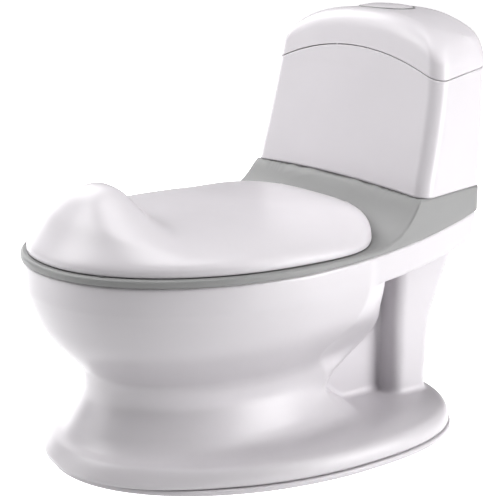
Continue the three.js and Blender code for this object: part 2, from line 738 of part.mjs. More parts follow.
// ---------- assembly ----------
const group = new THREE.Group();
group.name = 'potty_chair';
group.position.y = Y_SHIFT;

function put(name, solid, look) {
  const mesh = new THREE.Mesh(toGeometry(solid), new THREE.MeshStandardMaterial(look));
  mesh.name = name;
  group.add(mesh);
}

function putAll(name, places, make, look) {
  places.forEach(([x, y], i) => put(`${name}_${i + 1}`, make(x, y), look));
}

function bothSides(places) {
  return places.flatMap(([x, y]) => (x ? [[x, y], [-x, y]] : [[x, y]]));
}

put('body_shell', bodyShell(), WHITE);
put('base_plate', basePlate(), WHITE);
putAll('rubber_foot', bothSides(FOOT_AT), foot, DARK);
putAll('base_screw', bothSides(SCREW_AT), (x, y) => screw(x, y, 1.4, 2, 15), STEEL);
put('seat_deck', seatDeck(), GREY);
putAll('tank_screw', bothSides([[70, 150]]), (x, y) => screw(x, y, 207, 2.2, 13), STEEL);
put('seat_ring', seatRing(), WHITE);
put('inner_pot', innerPot(), WHITE);
put('lid', lid(), WHITE);
putAll('lid_hinge_pin', [[1, 0], [-1, 0]], lidPin, STEEL);
putAll('lid_bumper', bothSides([[118, -40], [60, -166]]), lidBumper, DARK);
put('tank_shell', tankShell(), WHITE);
put('tank_lid', tankLid(), WHITE);
put('tank_hinge_pin', rodX(TANK_HINGE.y, TANK_HINGE.z, TANK_HINGE.pin, -29, 29), STEEL);
put('button_bezel', buttonBezel(), GREY);
put('flush_button', flushButton(), WHITE);
put('button_spring', buttonSpring(), STEEL);
put('module_case', moduleCase(), WHITE);
putAll('module_screw', bothSides([[SCREW_X, 0]]), (x) => screw(x, BUTTON.cy, 334.2, 1.6, 13), STEEL);
put('circuit_board', circuitBoard(), BOARD);
put('tact_switch', tactSwitch(), DARK);
put('speaker', speaker(), DARK);
put('coin_cell_1', coinCell(0), STEEL);
put('coin_cell_2', coinCell(1), STEEL);
put('battery_door', batteryDoor(), WHITE);

export default group;
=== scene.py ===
"""Looks of the potty training chair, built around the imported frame.

Lengths are in millimetres until a mesh is made. The front of the chair is -Y and its top is +Z.
"""

import json
import math

import bmesh
import bpy
import numpy as np
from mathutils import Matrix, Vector


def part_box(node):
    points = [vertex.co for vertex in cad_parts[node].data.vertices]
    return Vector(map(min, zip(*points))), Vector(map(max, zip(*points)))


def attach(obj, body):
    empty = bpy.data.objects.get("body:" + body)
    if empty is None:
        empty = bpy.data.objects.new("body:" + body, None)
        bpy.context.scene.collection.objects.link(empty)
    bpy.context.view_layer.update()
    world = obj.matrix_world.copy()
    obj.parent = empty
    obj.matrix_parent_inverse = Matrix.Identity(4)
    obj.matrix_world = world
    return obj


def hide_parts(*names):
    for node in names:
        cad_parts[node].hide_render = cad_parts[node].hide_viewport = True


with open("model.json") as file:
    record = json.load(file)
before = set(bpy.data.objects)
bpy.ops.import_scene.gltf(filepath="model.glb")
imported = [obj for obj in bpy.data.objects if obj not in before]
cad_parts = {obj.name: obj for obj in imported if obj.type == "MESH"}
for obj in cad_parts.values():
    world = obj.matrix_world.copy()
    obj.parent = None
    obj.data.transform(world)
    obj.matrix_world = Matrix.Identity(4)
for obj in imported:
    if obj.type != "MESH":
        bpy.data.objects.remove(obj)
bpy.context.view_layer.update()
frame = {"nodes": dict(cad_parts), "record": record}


def node_box(node):
    """A CAD node's box in millimetres."""
    lo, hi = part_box(node)
    return np.array(lo) * 1000, np.array(hi) * 1000


# ---------- driving dimensions, from the frame ----------
DECK_LO, DECK_HI = node_box("seat_deck")
PLATE_LO, PLATE_HI = node_box("base_plate")
RING_HI = node_box("seat_ring")[1]
POT_LO, POT_HI = node_box("inner_pot")
LID_LO, LID_HI = node_box("lid")
TOP_HI = node_box("tank_lid")[1]
BUTTON_LO, BUTTON_HI = node_box("flush_button")
BEZEL_HI = node_box("button_bezel")[1]

WALL = 3.0
RIM_W = DECK_HI[0]                    # half width of the grey rim
RIM_F = DECK_LO[1]                    # its front
REAR_Y = DECK_HI[1]                   # its back
RIM_YW = RIM_F + 171.5                # where it is widest
RIM_N = 2.09                          # superellipse exponent of the front
RIM_TAPER = 28.0                      # how far each side has come in at the back
TAPER_LEN = 199.9
CORNER_R = 12.0                       # rear corners
CORNER_X = RIM_W - 38.6
CORNER_Y = REAR_Y - 17.6
Y0 = RIM_YW + 19.5                    # the profile tables below count Y from here
RIM_Z = 172.9                         # joint between white bowl and grey deck
RIM_RISE = 18.3                       # how much higher that joint is at the back
RISE_FROM = RIM_YW - 41.9
RISE_LEN = 241.8
DECK_Z = 178.8                        # top of the deck round the bowl
DECK_R = 2.4                          # rounding of its outer top edge
TANK_Z = 212.5                        # top of the deck under the tank
TANK_ARCH = 3.6                       # rise of that top in the middle
ARCH_HALF = 113.0
SWEEP_Y = RIM_YW + 39.5               # the deck sweeps up from here ...
TANK_Y = RIM_YW + 120.9               # ... to the tank's front
SKIRT_H, SKIRT_INSET = 25.5, 1.9      # white skirt under the deck

# height, half width, front, half width and Y of the flank crease, rear
BOWL = np.array([
    (176.0, 127.4, -188.6, 124.5, 41.0, 103.0),
    (160.0, 127.6, -188.8, 124.5, 41.0, 103.0),
    (147.0, 127.0, -188.0, 124.0, 40.0, 104.0),
    (130.0, 121.8, -182.4, 118.5, 37.5, 109.0),
    (118.0, 116.1, -177.4, 112.5, 33.0, 115.0),
    (106.0, 108.3, -169.5, 104.5, 25.5, 124.0),
    (96.0, 99.5, -160.7, 96.0, 20.0, 130.0),
    (88.0, 92.0, -153.4, 88.5, 20.0, 130.0),
    (80.0, 84.3, -146.2, 81.0, 25.0, 124.0),
    (74.0, 81.0, -144.3, 78.0, 30.0, 112.0),
    (66.0, 79.4, -143.7, 76.0, 35.5, 90.0),
    (58.0, 79.6, -144.8, 74.5, 37.0, 60.0),
    (50.0, 82.2, -148.2, 74.0, 37.0, 47.0),
    (40.0, 85.8, -154.0, 76.5, 40.0, 60.0),
    (32.0, 90.0, -158.8, 82.0, 44.0, 71.0),
    (26.0, 97.0, -163.5, 88.0, 47.0, 79.0),
    (20.0, 108.0, -171.0, 97.0, 50.0, 76.0),
    (10.0, 118.0, -178.0, 106.0, 54.0, 84.0),
])[::-1]
CREASE = 0.18                         # how sharply the rear turns in behind the flank crease
# height, half width, front, back
COLUMN = np.array([
    (5.0, 69.5, 120.5, 160.5),
    (60.0, 69.0, 121.0, 162.0),
    (92.0, 69.0, 121.0, 165.5),
    (115.0, 70.0, 121.0, 174.0),
    (135.0, 71.0, 121.0, 181.0),
    (150.0, 72.0, 121.0, 186.0),
    (190.0, 72.0, 121.0, 188.0),
])
COLUMN_R = 11.0
# web between the bowl and the column: half width, front and rear
WEB_HALF, WEB_FRONT, WEB_REAR = 46.0, 45.0, 135.0
FOOT_TOP, FOOT_R = 24.0, 5.0          # platform under the pedestal
FOOT_YW, FOOT_NF, FOOT_NR = Y0 + 31, 1.97, 2.77
BOWL_WALL, BOWL_FLOOR = 7.0, 86.0     # hollow that takes the pot
BODY_CENTRE = Y0 - 30.0               # the bowl's outlines are seen from here

# height, half width and front of the tank wall
TANK = np.array([
    (208.0, 116.0, 100.2),
    (211.0, 115.7, 100.8),
    (225.0, 114.6, 103.2),
    (240.0, 113.7, 106.9),
    (255.0, 112.8, 110.3),
    (270.0, 111.9, 113.6),
    (285.0, 110.9, 116.5),
    (300.0, 109.6, 119.2),
    (308.0, 108.6, 120.4),
])
TANK_R = 12.0                         # its upright edges
TOP_Z = TOP_HI[2]
TOP_DROP = 18.0                       # how much lower the crown is at its sides
TOP_R = 18.0                          # roll from wall to crown
SEAM_Z, SEAM_ARCH, SEAM_SLOPE = 307.5, 20.3, 0.1
SEAM_GAP, SEAM_LIP = 0.35, 0.5        # half the open seam, and the rounded lip beside it

LID_INSET = RIM_W - LID_HI[0]
LID_Z = LID_LO[2] - 0.6
LID_TOP = 204.0
LID_REAR = LID_HI[1]
LID_YC = Y0 - 30.0
HUMP_Y, HUMP_H = Y0 - 134.0, 34.0     # raised shield at the lid's front
HUMP_FRONT, HUMP_REAR, HUMP_SIDE = 38.0, 26.0, 54.0

# seat ring and pot share the opening's centre
OPEN_YW, OPEN_FRONT, OPEN_REAR = Y0 - 45, Y0 - 150, Y0 + 38
HOLE_HALF, HOLE_FRONT, HOLE_REAR = 88.0, Y0 - 158, Y0 + 48
RING_H, RING_ROLL = 10.0, 14.0
POT_TOP = DECK_Z + 8.4
POT_WALL = 2.2


# ---------- mesh helpers ----------
def outward(mesh):
    """Turns every face of a closed mesh outwards."""
    work = bmesh.new()
    work.from_mesh(mesh)
    bmesh.ops.recalc_face_normals(work, faces=work.faces)
    work.to_mesh(mesh)
    work.free()


def make(name, verts, faces, look, body, replaced=(), slot=None):
    """A smooth piece from millimetre vertices."""
    mesh = bpy.data.meshes.new(name)
    mesh.from_pydata((np.asarray(verts, float) / 1000).tolist(), [], [list(map(int, f)) for f in faces])
    mesh.validate()
    outward(mesh)
    mesh.polygons.foreach_set("use_smooth", [True] * len(mesh.polygons))
    obj = bpy.data.objects.new(name, mesh)
    bpy.context.scene.collection.objects.link(obj)
    mesh.materials.append(look)
    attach(obj, body)
    if replaced:
        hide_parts(*replaced)
    return obj


def mirror(half):
    """Front centre to rear centre on the +X side, completed into a ring."""
    half = np.asarray(half, float)
    left = half[1:-1][::-1] * [-1, 1]
    return np.vstack([half, left])


def lift(outline, z):
    """An outline set at a height, or draped over a function of x and y."""
    z = z(outline[:, 0], outline[:, 1]) if callable(z) else np.full(len(outline), float(z))
    return np.column_stack([outline, z])


def skin(rings, closed=False, caps=(True, True)):
    """Faces between equal rings of points. Rings go up, outside to the right of the walking direction."""
    n, m = len(rings[0]), len(rings)
    verts = np.vstack(rings)
    faces = []
    for k in range(m if closed else m - 1):
        a, b = k * n, (k + 1) % m * n
        for i in range(n):
            j = (i + 1) % n
            faces.append((a + i, a + j, b + j, b + i))
    if not closed:
        extra = []
        for end, wanted in ((0, caps[0]), (m - 1, caps[1])):
            if not wanted:
                continue
            centre = len(verts) + len(extra)
            extra.append(rings[end].mean(0))
            base = end * n
            for i in range(n):
                j = (i + 1) % n
                faces.append((base + j, base + i, centre) if end == 0 else (base + i, base + j, centre))
        if extra:
            verts = np.vstack([verts, extra])
    return verts, faces


# ---------- outlines ----------
def superellipse(w, yw, front, rear, nf, nr, count=48):
    """Ring of half width w, widest at yw, with its own exponent ahead of that and behind it."""
    half = []
    for a in np.linspace(0, math.pi, 2 * count + 1):
        ahead = a <= math.pi / 2
        p = 2 / (nf if ahead else nr)
        c = abs(math.cos(a)) ** p
        x = w * abs(math.sin(a)) ** p
        half.append((x, yw - (yw - front) * c if ahead else yw + (rear - yw) * c))
    half[0], half[-1] = (0.0, half[0][1]), (0.0, half[-1][1])
    return mirror(half)


def wall_x(y):
    """Half width of the rim behind its widest place."""
    return RIM_W - RIM_TAPER * np.maximum(0, (y - RIM_YW) / TAPER_LEN) ** 1.4


def plate_outline(d):
    """Egg-shaped outline of the foot and its bottom plate, inset by d."""
    return superellipse(PLATE_HI[0] - d, FOOT_YW, PLATE_LO[1] + d, PLATE_HI[1] - d, FOOT_NF, FOOT_NR)


def rim_half(d=0.0):
    """Half outline of the rim, inset by d: superellipse front, tapering sides, rounded rear corner."""
    half = []
    for a in np.linspace(0, math.pi / 2, 61):
        x = (RIM_W - d) * math.sin(a) ** (2 / RIM_N)
        half.append((x, RIM_YW - (RIM_YW - RIM_F - d) * abs(math.cos(a)) ** (2 / RIM_N)))
    for y in np.linspace(RIM_YW, CORNER_Y, 50)[1:]:
        half.append((wall_x(y) - d, y))
    r = CORNER_R - d
    for a in np.linspace(0, math.pi / 2, 11)[1:]:
        half.append((CORNER_X + r * math.cos(a), CORNER_Y + r * math.sin(a)))
    x1, y1 = half[-1]
    for u in np.linspace(0, 1, 21)[1:]:
        half.append((x1 * (1 - u), y1 + (REAR_Y - d - y1) * math.sin(u * math.pi / 2)))
    return half


def rim(d=0.0):
    return mirror(rim_half(d))


def rim_z(x, y):
    """Height of the joint between white bowl and grey deck."""
    t = np.clip((y - RISE_FROM) / RISE_LEN, 0, 1.05)
    return RIM_Z + RIM_RISE * t ** 3


def deck_z(x, y):
    """Height of the deck's top, which sweeps up to the tank."""
    t = np.clip((y - SWEEP_Y) / (TANK_Y - SWEEP_Y), 0, 1)
    return DECK_Z + (TANK_Z - DECK_Z + TANK_ARCH * (1 - (x / ARCH_HALF) ** 2)) * t ** 4


# ---------- moulded body as a distance field ----------
def smooth_table(table, at):
    """Rows of a table by height, read at the heights in `at` along a smooth curve."""
    z, rows = table[:, 0], table[:, 1:]
    slope = np.gradient(rows, z, axis=0)
    i = np.clip(np.searchsorted(z, at) - 1, 0, len(z) - 2)
    span = (z[i + 1] - z[i])[:, None]
    t = np.clip((at - z[i])[:, None] / span, 0, 1)
    h00, h10 = (1 + 2 * t) * (1 - t) ** 2, t * (1 - t) ** 2
    h01, h11 = t * t * (3 - 2 * t), t * t * (t - 1)
    return h00 * rows[i] + h10 * span * slope[i] + h01 * rows[i + 1] + h11 * span * slope[i + 1]


def bowl_half(w, front, crease_x, crease_y, rear):
    """Half outline of the bowl and pedestal at one height."""
    a = np.linspace(0, math.pi / 2, 40)
    y_front = RIM_YW - (RIM_YW - front - Y0) * np.cos(a) ** (2 / RIM_N)
    part = [np.column_stack([w * np.sin(a) ** (2 / RIM_N), y_front])]
    u = np.linspace(0, 1, 16)[1:]
    flank = Y0 + crease_y
    part.append(np.column_stack([w - (w - crease_x) * u ** 1.5, RIM_YW + (flank - RIM_YW) * u]))
    span = rear - crease_y
    t = np.linspace(0, 1, 50)[1:]
    s = 1 - t
    x = s ** 3 * crease_x + 3 * s * s * t * (crease_x - CREASE * span) + 3 * s * t * t * 0.76 * crease_x
    y = 3 * s * s * t * 0.5 + 3 * s * t * t * 0.98 + t ** 3
    part.append(np.column_stack([x, flank + y * span]))
    return np.vstack(part)


def polar_gap(half, cx, cy, x, y):
    """Signed radial gap of points from a half outline seen from (cx, cy)."""
    ang = np.arctan2(half[:, 0] - cx, -(half[:, 1] - cy))
    rad = np.hypot(half[:, 0] - cx, half[:, 1] - cy)
    order = np.argsort(ang)
    theta = np.arctan2(np.abs(x), -(y - cy))
    return np.hypot(x, y - cy) - np.interp(theta, ang[order], rad[order])


def unit_slope(field, h):
    """Scales a field so that it counts true distance near its zero."""
    g = np.gradient(field, h)
    return field / np.maximum(np.sqrt(g[0] ** 2 + g[1] ** 2 + g[2] ** 2), 0.3)


def smin(a, b, k):
    """Union of two fields with a fillet of size k."""
    e = np.clip(k - np.abs(a - b), 0, None) / np.maximum(k, 1e-6)
    return np.minimum(a, b) - e * e * k * 0.25


def smax(a, b, k):
    """Overlap of two fields with an edge rounded by k."""
    return -smin(-a, -b, k)


def rounded_box(x, y, hx, y0, y1, r):
    """Distance in plan from a box with rounded corners, arrays per height."""
    qx = np.abs(x) - (hx - r)
    qy = np.abs(y - (y0 + y1) / 2) - ((y1 - y0) / 2 - r)
    out = np.hypot(np.maximum(qx, 0), np.maximum(qy, 0))
    return out + np.minimum(np.maximum(qx, qy), 0) - r


def platform_inset(z):
    """How far the platform's side has come in at height z: a soft shoulder."""
    start = 8.0
    t = np.clip((z - start) / (FOOT_TOP - start), 0, 1)
    return 1.6 + 1.2 * t + 17.5 * (1 - np.sqrt(np.clip(1 - t ** 3.2, 0, 1)))


def body_field(x, y, z, h):
    """Signed distance from the white moulding: bowl, skirt, web, column and foot blended into one."""
    levels = z[0, 0, :]
    px, py = x[:, :, 0], y[:, :, 0]
    bowl = np.empty(x.shape)
    for k, row in enumerate(smooth_table(BOWL, levels)):
        bowl[:, :, k] = polar_gap(bowl_half(*row), 0, BODY_CENTRE, px, py)
    bowl = unit_slope(bowl, h)
    cols = smooth_table(COLUMN, levels)
    column = rounded_box(x, y, cols[:, 0], cols[:, 1] + Y0, cols[:, 2] + Y0, COLUMN_R)
    web = np.maximum(np.abs(x) - WEB_HALF, np.maximum(Y0 + WEB_FRONT - y, y - Y0 - WEB_REAR))
    egg = plate_outline(0)
    foot_gap = polar_gap(egg[: len(egg) // 2 + 1], 0, Y0, px, py)
    foot = unit_slope(np.repeat(foot_gap[:, :, None], x.shape[2], 2), h)
    foot = unit_slope(foot + platform_inset(z), h)
    foot = smax(foot, z - FOOT_TOP, FOOT_R)
    rim_gap = polar_gap(np.array(rim_half(SKIRT_INSET)), 0, BODY_CENTRE, px, py)
    skirt = unit_slope(np.repeat(rim_gap[:, :, None], x.shape[2], 2), h)
    skirt = smax(skirt, rim_z(x, y) - SKIRT_H - z, 3.0)
    # the last number of each blend is its fillet: crisp under the skirt, soft at the column's head
    body = smin(bowl, skirt, 1.2)
    body = smin(body, web, 4.0)
    column_head = np.clip((z - 110) / 50, 0, 1)
    body = smin(body, column, 3.0 + 6.0 * column_head)
    body = smin(body, foot, 5.0)
    body = smax(body, z - rim_z(x, y) + 0.1, 0.8)
    cavity = np.maximum(bowl + BOWL_WALL, BOWL_FLOOR - z)
    body = smax(body, -cavity, 2.0)
    return np.maximum(body, PLATE_HI[2] + 0.5 - z)


def surface_net(field, origin, h):
    """Vertices and quads of a field's zero surface, one vertex in each cell that it crosses."""
    inside = field < 0
    cells = tuple(s - 1 for s in field.shape)
    total, count = np.zeros(cells + (3,)), np.zeros(cells)
    index = np.stack(np.meshgrid(*[np.arange(s) for s in field.shape], indexing="ij"), -1)
    crossings = []
    for axis in range(3):
        lo = [slice(None)] * 3
        hi = [slice(None)] * 3
        lo[axis], hi[axis] = slice(0, -1), slice(1, None)
        fa, fb = field[tuple(lo)], field[tuple(hi)]
        cross = inside[tuple(lo)] != inside[tuple(hi)]
        at = np.argwhere(cross)
        a, b = fa[cross], fb[cross]
        point = at.astype(float)
        point[:, axis] += a / (a - b)
        crossings.append((axis, at, inside[tuple(lo)][cross]))
        others = [k for k in range(3) if k != axis]
        for da in (0, -1):
            for db in (0, -1):
                c = at.copy()
                c[:, others[0]] += da
                c[:, others[1]] += db
                ok = ((c >= 0) & (c < cells)).all(1)
                np.add.at(total, tuple(c[ok].T), point[ok])
                np.add.at(count, tuple(c[ok].T), 1)
    used = count > 0
    ids = np.full(cells, -1)
    ids[used] = np.arange(used.sum())
    verts = total[used] / count[used][:, None] * h + origin
    quads = []
    for axis, at, first_inside in crossings:
        o1, o2 = [(1, 2), (2, 0), (0, 1)][axis]
        ring = []
        for d1, d2 in ((0, 0), (-1, 0), (-1, -1), (0, -1)):
            c = at.copy()
            c[:, o1] += d1
            c[:, o2] += d2
            ok = ((c >= 0) & (c < cells)).all(1)
            got = np.full(len(c), -1)
            got[ok] = ids[tuple(c[ok].T)]
            ring.append(got)
        ring = np.column_stack(ring)
        keep = (ring >= 0).all(1)
        ring, flip = ring[keep], ~first_inside[keep]
        ring[flip] = ring[flip][:, ::-1]
        quads.append(ring)
    return verts, np.vstack(quads)


def sample(grid, p):
    """Trilinear reading of a grid at index positions p."""
    p = np.clip(p, 0, np.array(grid.shape[:3]) - 1.001)
    i = p.astype(int)
    f = p - i
    out = 0
    for dx in (0, 1):
        for dy in (0, 1):
            for dz in (0, 1):
                w = f[:, 0] if dx else 1 - f[:, 0]
                w = w * (f[:, 1] if dy else 1 - f[:, 1])
                w = w * (f[:, 2] if dz else 1 - f[:, 2])
                out = out + w * grid[i[:, 0] + dx, i[:, 1] + dy, i[:, 2] + dz]
    return out


def relax(verts, quads, field, origin, h, rounds=4):
    """Evens the net out and pulls it back onto the surface."""
    grad = np.gradient(field, h)
    a = quads.ravel()
    b = np.roll(quads, -1, 1).ravel()
    for _ in range(rounds):
        total, count = np.zeros_like(verts), np.zeros(len(verts))
        for s, t in ((a, b), (b, a)):
            np.add.at(total, s, verts[t])
            np.add.at(count, s, 1)
        verts = verts * 0.4 + total / count[:, None] * 0.6
        for _ in range(2):
            p = (verts - origin) / h
            value = sample(field, p)
            g = np.column_stack([sample(c, p) for c in grad])
            step = value / np.maximum((g ** 2).sum(1), 0.25)
            verts = verts - g * np.clip(step, -h, h)[:, None]
    return verts


def moulded_body(look):
    """The white moulding: its field on a grid, netted, relaxed and made into one piece."""
    h = 2.0
    low = np.array([-143.0, PLATE_LO[1] - 18, PLATE_HI[2] - 2])
    high = np.array([143.0, REAR_Y + 6, 198.0])
    axes = [np.arange(low[i], high[i], h) for i in range(3)]
    axes[0] = np.arange(-(len(axes[0]) // 2), len(axes[0]) // 2 + 1) * h
    low[0] = axes[0][0]
    x, y, z = np.meshgrid(*axes, indexing="ij")
    field = body_field(x, y, z, h)
    verts, quads = surface_net(field, low, h)
    verts = relax(verts, quads, field, low, h)
    return make("moulded_body", verts, quads, look, "frame", ["body_shell"], "white_plastic")


# ---------- base plate, deck, ring and pot ----------
def base_plate(look):
    z0, z1 = PLATE_LO[2], PLATE_HI[2]
    lower = [(12, 0.9), (4, 0.9), (3, 0.3), (1.6, 0), (0.8, 0.25), (0.2, 0.8), (0, 1.6)]
    upper = [(0, 1.2), (0.25, 0.5), (0.8, 0.1), (1.6, 0), (6, 0)]
    rings = [lift(plate_outline(d), z0 + up) for d, up in lower]
    rings += [lift(plate_outline(d), z1 - down) for d, down in upper]
    return make("base_plate_skin", *skin(rings), look, "frame", ["base_plate"], "white_plastic")


def hole_outline():
    """The deck's opening under the seat ring, with as many points as the rim has."""
    half = []
    for a in np.linspace(0, math.pi, len(rim_half())):
        ahead = a <= math.pi / 2
        p = 2 / (2.1 if ahead else 2.3)
        reach = (HOLE_FRONT if ahead else HOLE_REAR) - OPEN_YW
        half.append((HOLE_HALF * abs(math.sin(a)) ** p, OPEN_YW + reach * abs(math.cos(a)) ** p))
    half[0], half[-1] = (0.0, half[0][1]), (0.0, half[-1][1])
    return mirror(half)


def seat_deck(look):
    outer = rim()
    hole = hole_outline()
    ledge = rim(5.0)
    low = lambda x, y: rim_z(x, y) + 0.2
    rings = [
        lift(ledge, low),
        lift(rim(0.3), low),
        lift(rim(0.08), lambda x, y: low(x, y) + 0.1),
        lift(outer, lambda x, y: low(x, y) + 0.4),
    ]
    for s in (0.35, 0.7):
        side = lambda x, y, s=s: (1 - s) * (low(x, y) + 0.4) + s * (deck_z(x, y) - DECK_R)
        rings.append(lift(outer, side))
    for a in np.linspace(0, math.pi / 2, 8):
        d = DECK_R * (1 - math.cos(a))
        rings.append(lift(rim(d), lambda x, y, a=a: deck_z(x, y) - DECK_R * (1 - math.sin(a))))
    edge = rim(DECK_R)
    for s in np.linspace(0, 1, 34)[1:]:
        rings.append(lift(edge + (hole - edge) * s, deck_z))
    under = lambda x, y: deck_z(x, y) - WALL
    for s in np.linspace(1, 0, 12):
        rings.append(lift(ledge + (hole - ledge) * s, under))
    return make("seat_deck_skin", *skin(rings, closed=True), look, "frame", ["seat_deck"], "grey_plastic")


def seat_ring(look):
    """Rounded ring round the opening, with a step inside that the pot's lip rests on."""
    z, roll_in, step = DECK_Z + 0.2, 9.0, 2.4
    out = lambda d: superellipse(RING_HI[0] - d, Y0 - 22, Y0 - 172 + d, Y0 + 66 - d, 2.1, 2.4)
    inn = lambda d: superellipse(76 - d, OPEN_YW, OPEN_FRONT + d, OPEN_REAR - d, 2.1, 2.2)
    rings = []
    for a in np.linspace(0, math.pi / 2, 9):
        rings.append(lift(out(RING_ROLL * (1 - math.cos(a)) ** 1.1), z + RING_H * math.sin(a) ** 0.9))
    top_out, top_in = out(RING_ROLL), inn(-roll_in)
    rings += [lift(top_out + (top_in - top_out) * s, z + RING_H) for s in (0.33, 0.66)]
    for a in np.linspace(0, math.pi / 2, 7):
        inset = (roll_in - step) * math.sin(a) - roll_in
        rings.append(lift(inn(inset), z + RING_H - 1.4 * (1 - math.cos(a))))
    rings += [lift(inn(-step), z + 6.4), lift(inn(0), z + 6.2), lift(inn(0), z + 0.2)]
    return make("seat_ring_skin", *skin(rings, closed=True), look, "frame", ["seat_ring"], "white_plastic")


def pot_outline(k, d):
    """Outline of the pot at share k of its depth, inset by d."""
    u = k ** 2.2
    front, rear = OPEN_FRONT + 2.4 + 40 * u, OPEN_REAR - 2.4 - 26 * u
    return superellipse(73.6 - 24 * u - d, OPEN_YW, front + d, rear - d, 2.1, 2.2)


def pot_lip(d):
    return superellipse(77.8 - d, OPEN_YW, OPEN_FRONT - 1.8 + d, OPEN_REAR + 1.8 - d, 2.1, 2.2)


def inner_pot(look):
    depth = POT_TOP - POT_LO[2]
    floor_roll = ((34, 0), (20, 0), (12, 0.3), (7, 1.6), (3, 4.0))
    lip_roll = ((1.2, -1.2), (0.35, -1.0), (0, -0.3), (0, 0.3), (0.35, 1.0), (1.2, 1.3), (4.0, 1.3))
    wall = np.linspace(0.93, 0.02, 22)
    rings = [lift(pot_outline(0.985, d), POT_LO[2] + z) for d, z in floor_roll]
    rings += [lift(pot_outline(k, 0), POT_TOP - depth * k) for k in wall]
    rings += [lift(pot_lip(d), POT_TOP + z) for d, z in lip_roll]
    rings.append(lift(pot_outline(0, 1.9), POT_TOP + 1.0))
    rings += [lift(pot_outline(k, POT_WALL), POT_TOP - depth * k + 0.8) for k in wall[::-1]]
    rings += [lift(pot_outline(0.985, d + POT_WALL), POT_LO[2] + 2.4 + z) for d, z in floor_roll[::-1]]
    return make("pot_skin", *skin(rings), look, "pot", ["inner_pot"], "white_plastic")


def splash_guard(look):
    """The raised shield on the pot's front rim, a curved plate with a rounded top edge."""
    top, half_width, thick = POT_TOP, 36.0, 2.4
    cols, rows = 41, 14
    edge = []
    for s in np.linspace(-1, 1, cols):
        edge.append((half_width * s, (POT_HI[2] - top) * (1 - abs(s) ** 3.2) ** 0.55))
    outer, inner = [], []
    for j in range(rows):
        v = j / (rows - 1)
        for x, tall in edge:
            zz = 1.0 + max(tall - 1.0, 0.2) * v
            lean = 7.0 * (zz / 26) ** 1.2
            sag = 105.0 * (1 - (1 - (abs(x) / 76.0) ** 2.1) ** (1 / 2.1))
            y = OPEN_FRONT + sag + lean
            outer.append((x, y, top + zz))
            inner.append((x, y + thick, top + zz))
    verts = np.vstack([outer, inner])
    n, faces = cols * rows, []
    for j in range(rows - 1):
        for i in range(cols - 1):
            a = j * cols + i
            faces.append((a, a + 1, a + cols + 1, a + cols))
            faces.append((n + a, n + a + cols, n + a + cols + 1, n + a + 1))
    for i in range(cols - 1):
        t = (rows - 1) * cols + i
        faces.append((t, t + 1, n + t + 1, n + t))
        faces.append((i + 1, i, n + i, n + i + 1))
    for j in range(rows - 1):
        a, b = j * cols, j * cols + cols - 1
        faces.append((a, a + cols, n + a + cols, n + a))
        faces.append((b + cols, b, n + b, n + b + cols))
    return rounded(make("splash_guard", verts, faces, look, "pot", (), "white_plastic"), 0.8)


# ---------- lid ----------
def lid_outline(d):
    """Outline of the lid, inset by d. It has as many points ahead of its widest place as behind it."""
    w = RIM_W - LID_INSET - d
    half = []
    for a in np.linspace(0, math.pi / 2, 61):
        c = abs(math.cos(a)) ** (2 / RIM_N)
        half.append((w * math.sin(a) ** (2 / RIM_N), RIM_YW - (RIM_YW - RIM_F - LID_INSET - d) * c))
    for a in np.linspace(0, math.pi / 2, 61)[1:]:
        half.append((w * abs(math.cos(a)) ** 0.69, RIM_YW + (LID_REAR - d - RIM_YW) * math.sin(a) ** 0.69))
    half[0], half[-1] = (0.0, half[0][1]), (0.0, half[-1][1])
    return mirror(half)


def hump_z(x, y):
    """Raised shield at the front of the lid, steeper towards the seat than towards the front."""
    reach = np.where(y < HUMP_Y, HUMP_FRONT, HUMP_REAR)
    return HUMP_H * np.exp(-np.abs((y - HUMP_Y) / reach) ** 2.7 - np.abs(x / HUMP_SIDE) ** 2.4)


def lid_bottom_z(x, y):
    """The lid's lower edge, which follows the deck's sweep up to the tank."""
    t = np.clip((y - SWEEP_Y) / (TANK_Y - SWEEP_Y), 0, 1)
    return LID_Z + 40.2 * t ** 4


def lid_top_z(r, x, y, d):
    """Height of the lid's top, or of its underside for d > 0, at share r of the way out from its middle."""
    z0 = np.maximum(LID_Z + 3, lid_bottom_z(x, y) + 1)
    u = np.clip((y - Y0) / 85, 0, 1)
    p = 3.2 + 24 * u ** 3
    crown = (LID_TOP - z0 - d) * np.sqrt(np.maximum(0, 1 - r ** p))
    return z0 + crown + hump_z(x, y) * np.minimum(1, (1 - r ** 8) * 1.6)


def lid_ring(outline, r, d):
    x, y = outline[:, 0] * r, LID_YC + (outline[:, 1] - LID_YC) * r
    return np.column_stack([x, y, lid_top_z(r, x, y, d)])


def lid_rim(d, rise):
    """Ring near the lid's lower edge: inset d, and so much above the edge."""
    return lift(lid_outline(d), lambda x, y: lid_bottom_z(x, y) + rise)


def lid_skin(look):
    out, inn = lid_outline(0), lid_outline(WALL)
    shares = 1 - np.linspace(0, 1, 46)[1:-1] ** 1.9
    rings = [lid_rim(0.9, 0), lid_rim(0.25, 0.3), lid_rim(0, 0.95)]
    top = [lid_ring(out, r, 0) for r in shares]
    under = [lid_ring(inn, r, WALL) for r in shares[::-1]]
    verts, faces = skin(rings + top, caps=(False, True))
    low, down = skin(under + [lid_rim(WALL, 1.2), lid_rim(2.1, 0)], caps=(True, False))
    n = len(out)
    shift = len(verts)
    faces += [tuple(i + shift for i in f) for f in down]
    last = shift + (len(under) + 1) * n
    faces += [(last + i, last + (i + 1) % n, (i + 1) % n, i) for i in range(n)]
    return make("lid_skin", np.vstack([verts, low]), faces, look, "lid", ["lid"], "white_plastic")


